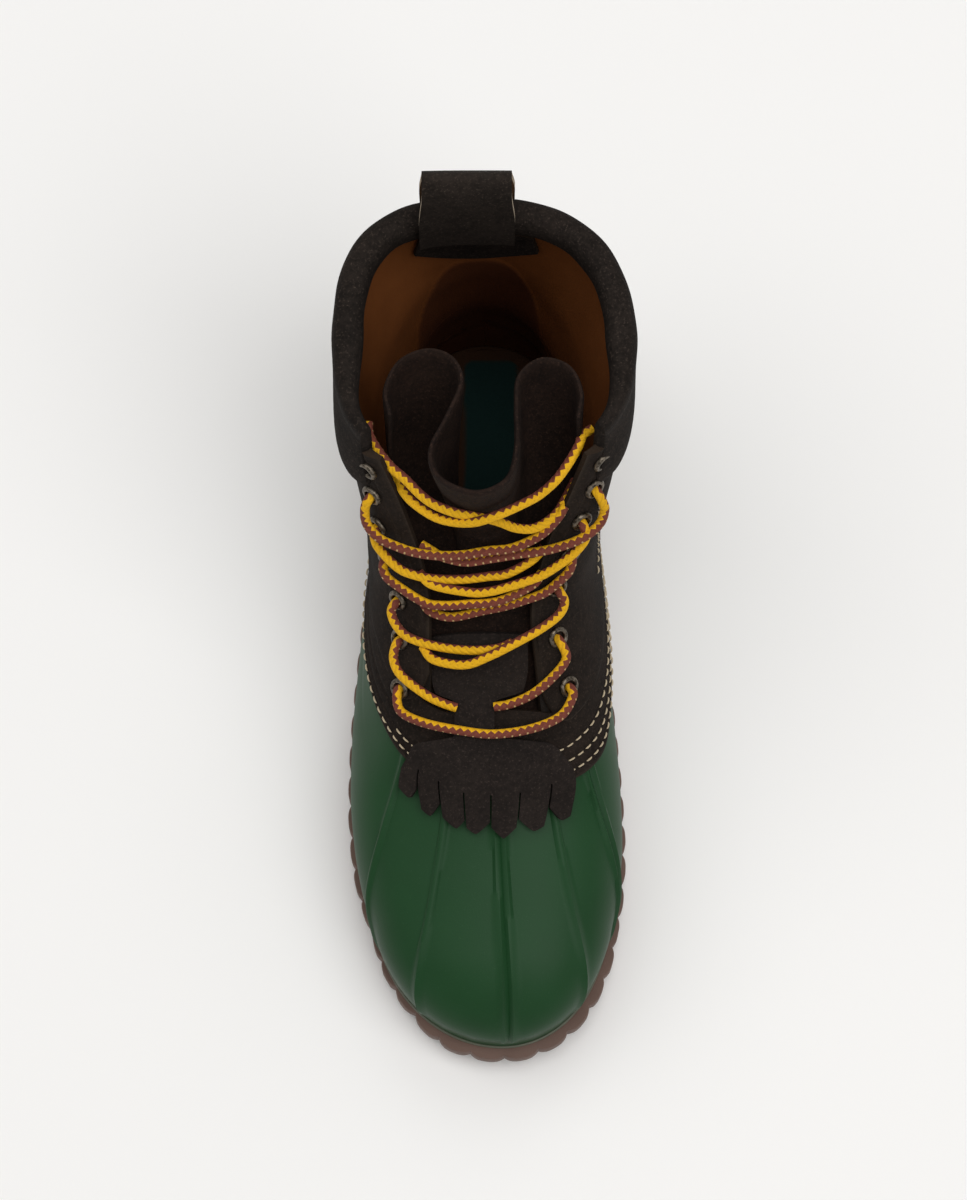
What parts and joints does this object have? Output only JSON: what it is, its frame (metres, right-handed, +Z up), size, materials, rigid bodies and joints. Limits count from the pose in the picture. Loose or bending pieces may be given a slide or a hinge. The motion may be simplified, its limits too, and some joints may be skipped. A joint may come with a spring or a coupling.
{
  "type": "duck boot",
  "caption": "Lace-up duck boot for the right foot: ribbed rubber shell and chain-tread sole, leather shaft with padded collar, folded tongue, fringed kiltie and heel pull loop.",
  "frame": {"origin": "middle of the footprint at floor level", "axes": "+Z up, toe towards -Y and heel towards +Y, the big-toe side towards +X"},
  "size_m": [0.112, 0.3043, 0.227],
  "materials": {
    "sole": "matte moulded rubber, brown",
    "board": "tan insole with a green label area",
    "green_rubber": "semi-matte moulded rubber, forest green",
    "leather": "dark brown nubuck, fine nap",
    "collar_leather": "dark brown smooth padded leather",
    "suede": "dark brown suede with a tan underside",
    "kiltie_suede": "dark brown suede, cut fringe",
    "strap": "dark brown leather strap with a tan inner face",
    "eyelet": "antique finish",
    "lace": "round braided cord in yellow and red brown"
  },
  "bodies": {
    "root": {"outsole": "sole", "insole": "board", "rubber_shell": "green_rubber", "leather_shaft": "leather", "collar": "collar_leather", "tongue": "suede", "kiltie": "kiltie_suede", "pull_loop": "strap", "eyelet_outer_1": "eyelet", "eyelet_inner_1": "eyelet", "eyelet_outer_2": "eyelet", "eyelet_inner_2": "eyelet", "eyelet_outer_3": "eyelet", "eyelet_inner_3": "eyelet", "eyelet_outer_4": "eyelet", "eyelet_inner_4": "eyelet", "eyelet_outer_5": "eyelet", "eyelet_inner_5": "eyelet", "eyelet_outer_6": "eyelet", "eyelet_inner_6": "eyelet", "eyelet_outer_7": "eyelet", "eyelet_inner_7": "eyelet", "lace_1": "lace", "lace_2": "lace", "lace_3": "lace", "lace_4": "lace", "lace_5": "lace", "lace_6": "lace", "lace_7": "lace", "lace_8": "lace"}
  },
  "joints": []
}
